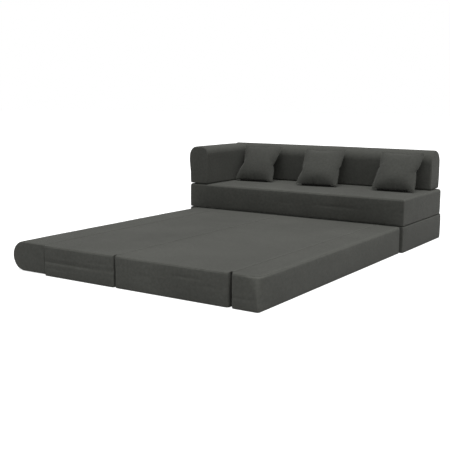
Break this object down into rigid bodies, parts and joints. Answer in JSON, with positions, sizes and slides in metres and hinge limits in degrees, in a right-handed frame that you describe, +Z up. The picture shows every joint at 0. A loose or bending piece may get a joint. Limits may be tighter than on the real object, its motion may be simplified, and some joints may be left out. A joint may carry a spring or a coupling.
{
  "type": "futon sofa bed",
  "caption": "Floor sofa bed in dark grey woven fabric: a low two-layer sofa with backrest, left armrest and throw pillows, behind a fold-out mattress of hinged foam panels.",
  "frame": {"origin": "centre of the underside of the whole set's bounding box, on the floor", "axes": "+X to the right of a person looking at the sofa, +Y from the mattress front towards the sofa's back, +Z up"},
  "size_m": [1.9552, 2.901, 0.726],
  "materials": {
    "cover_fabric": "matte dark warm-grey plain weave, slightly heathered",
    "pillow_fabric": "same matte dark warm-grey weave as the cushions",
    "foam": "open-cell upholstery foam, pale cream",
    "pillow_filling": "white polyester fibre in a plain inner bag",
    "zip_tape": "dark woven zip tape with nylon coil",
    "zip_metal": "dark enamelled zip slider and pull",
    "fold_tape": "dark grey woven hinge tape",
    "hook_and_loop": "black hook-and-loop tape"
  },
  "bodies": {
    "base": {"base_cover": "cover_fabric", "base_foam": "foam", "base_zip": "zip_tape"},
    "seat": {"seat_cover": "cover_fabric", "seat_foam": "foam", "seat_zip": "zip_tape", "seat_fold_tape": "fold_tape", "backrest_loop_strip": "hook_and_loop", "armrest_loop_strip": "hook_and_loop"},
    "backrest": {"backrest_cover": "cover_fabric", "backrest_foam": "foam", "backrest_zip": "zip_tape", "backrest_hook_strip": "hook_and_loop"},
    "armrest": {"armrest_cover": "cover_fabric", "armrest_foam": "foam", "armrest_zip": "zip_tape", "armrest_hook_strip": "hook_and_loop"},
    "pillow_left": {"pillow_left_cover": "pillow_fabric", "pillow_left_filling": "pillow_filling", "pillow_left_zip": "zip_tape"},
    "pillow_middle": {"pillow_middle_cover": "pillow_fabric", "pillow_middle_filling": "pillow_filling", "pillow_middle_zip": "zip_tape"},
    "pillow_right": {"pillow_right_cover": "pillow_fabric", "pillow_right_filling": "pillow_filling", "pillow_right_zip": "zip_tape"},
    "main_panel": {"main_panel_cover": "cover_fabric", "main_panel_foam": "foam", "main_panel_zip": "zip_tape", "inner_fold_tape": "fold_tape", "edge_fold_tape": "fold_tape"},
    "inner_panel": {"inner_panel_cover": "cover_fabric", "inner_panel_foam": "foam", "inner_panel_zip": "zip_tape", "bolster_fold_tape": "fold_tape"},
    "bolster": {"bolster_cover": "cover_fabric", "bolster_foam": "foam", "bolster_zip": "zip_tape"},
    "edge_panel": {"edge_panel_cover": "cover_fabric", "edge_panel_foam": "foam", "edge_panel_zip": "zip_tape"},
    "base_zip_slider": {"base_zip_slider": "zip_metal"},
    "seat_zip_slider": {"seat_zip_slider": "zip_metal"},
    "backrest_zip_slider": {"backrest_zip_slider": "zip_metal"},
    "armrest_zip_slider": {"armrest_zip_slider": "zip_metal"},
    "pillow_left_zip_slider": {"pillow_left_zip_slider": "zip_metal"},
    "pillow_middle_zip_slider": {"pillow_middle_zip_slider": "zip_metal"},
    "pillow_right_zip_slider": {"pillow_right_zip_slider": "zip_metal"},
    "main_panel_zip_slider": {"main_panel_zip_slider": "zip_metal"},
    "inner_panel_zip_slider": {"inner_panel_zip_slider": "zip_metal"},
    "bolster_zip_slider": {"bolster_zip_slider": "zip_metal"},
    "edge_panel_zip_slider": {"edge_panel_zip_slider": "zip_metal"}
  },
  "joints": [
    {"name": "mattress_slide", "type": "slide", "parent": "base", "child": "main_panel", "axis": [0, -1, 0], "range_m": [0, 0.6]},
    {"name": "inner_panel_fold", "type": "hinge", "parent": "main_panel", "child": "inner_panel", "pos_m": [-0.06545, -0.43555, 0.204], "axis": [0, 1, 0], "range_deg": [0, 180], "deforming": ["inner_fold_tape"]},
    {"name": "bolster_fold", "type": "hinge", "parent": "inner_panel", "child": "bolster", "pos_m": [-0.66545, -0.43555, 0], "axis": [0, -1, 0], "range_deg": [0, 90], "deforming": ["bolster_fold_tape"]},
    {"name": "edge_panel_fold", "type": "hinge", "parent": "main_panel", "child": "edge_panel", "pos_m": [0.76755, -0.43555, 0.204], "axis": [0, -1, 0], "range_deg": [0, 180], "deforming": ["edge_fold_tape"]},
    {"name": "seat_fold", "type": "hinge", "parent": "base", "child": "seat", "pos_m": [0.00255, 1.44595, 0.2035], "axis": [-1, 0, 0], "range_deg": [0, 90], "deforming": ["seat_fold_tape"]},
    {"name": "backrest_lift", "type": "slide", "parent": "seat", "child": "backrest", "axis": [0, 0, 1], "range_m": [0, 0.35]},
    {"name": "armrest_lift", "type": "slide", "parent": "seat", "child": "armrest", "axis": [0, 0, 1], "range_m": [0, 0.35]},
    {"name": "pillow_left_lift", "type": "slide", "parent": "seat", "child": "pillow_left", "axis": [0, 0, 1], "range_m": [0, 0.3]},
    {"name": "pillow_middle_lift", "type": "slide", "parent": "seat", "child": "pillow_middle", "axis": [0, 0, 1], "range_m": [0, 0.3]},
    {"name": "pillow_right_lift", "type": "slide", "parent": "seat", "child": "pillow_right", "axis": [0, 0, 1], "range_m": [0, 0.3]},
    {"name": "inner_panel_zip_slide", "type": "slide", "parent": "inner_panel", "child": "inner_panel_zip_slider", "axis": [-1, 0, 0], "range_m": [0, 0.485]},
    {"name": "main_panel_zip_slide", "type": "slide", "parent": "main_panel", "child": "main_panel_zip_slider", "axis": [-1, 0, 0], "range_m": [0, 0.716]},
    {"name": "edge_panel_zip_slide", "type": "slide", "parent": "edge_panel", "child": "edge_panel_zip_slider", "axis": [-1, 0, 0], "range_m": [0, 0.076]},
    {"name": "base_zip_slide", "type": "slide", "parent": "base", "child": "base_zip_slider", "axis": [-1, 0, 0], "range_m": [0, 1.841]},
    {"name": "seat_zip_slide", "type": "slide", "parent": "seat", "child": "seat_zip_slider", "axis": [-1, 0, 0], "range_m": [0, 1.841]},
    {"name": "bolster_zip_slide", "type": "slide", "parent": "bolster", "child": "bolster_zip_slider", "axis": [-1, 0, 0], "range_m": [0, 0.134]},
    {"name": "backrest_zip_slide", "type": "slide", "parent": "backrest", "child": "backrest_zip_slider", "axis": [-1, 0, 0], "range_m": [0, 1.814]},
    {"name": "armrest_zip_slide", "type": "slide", "parent": "armrest", "child": "armrest_zip_slider", "axis": [0, -1, 0], "range_m": [0, 0.551]},
    {"name": "pillow_left_zip_slide", "type": "slide", "parent": "pillow_left", "child": "pillow_left_zip_slider", "axis": [0.9959, 0.0906, 0], "range_m": [0, 0.217]},
    {"name": "pillow_middle_zip_slide", "type": "slide", "parent": "pillow_middle", "child": "pillow_middle_zip_slider", "axis": [0.9907, 0.1357, 0], "range_m": [0, 0.217]},
    {"name": "pillow_right_zip_slide", "type": "slide", "parent": "pillow_right", "child": "pillow_right_zip_slider", "axis": [0.9991, 0.0419, 0], "range_m": [0, 0.217]}
  ],
  "couplings": [
    {"joint": "bolster_fold", "follows": "inner_panel_fold", "ratio": 0.5}
  ]
}
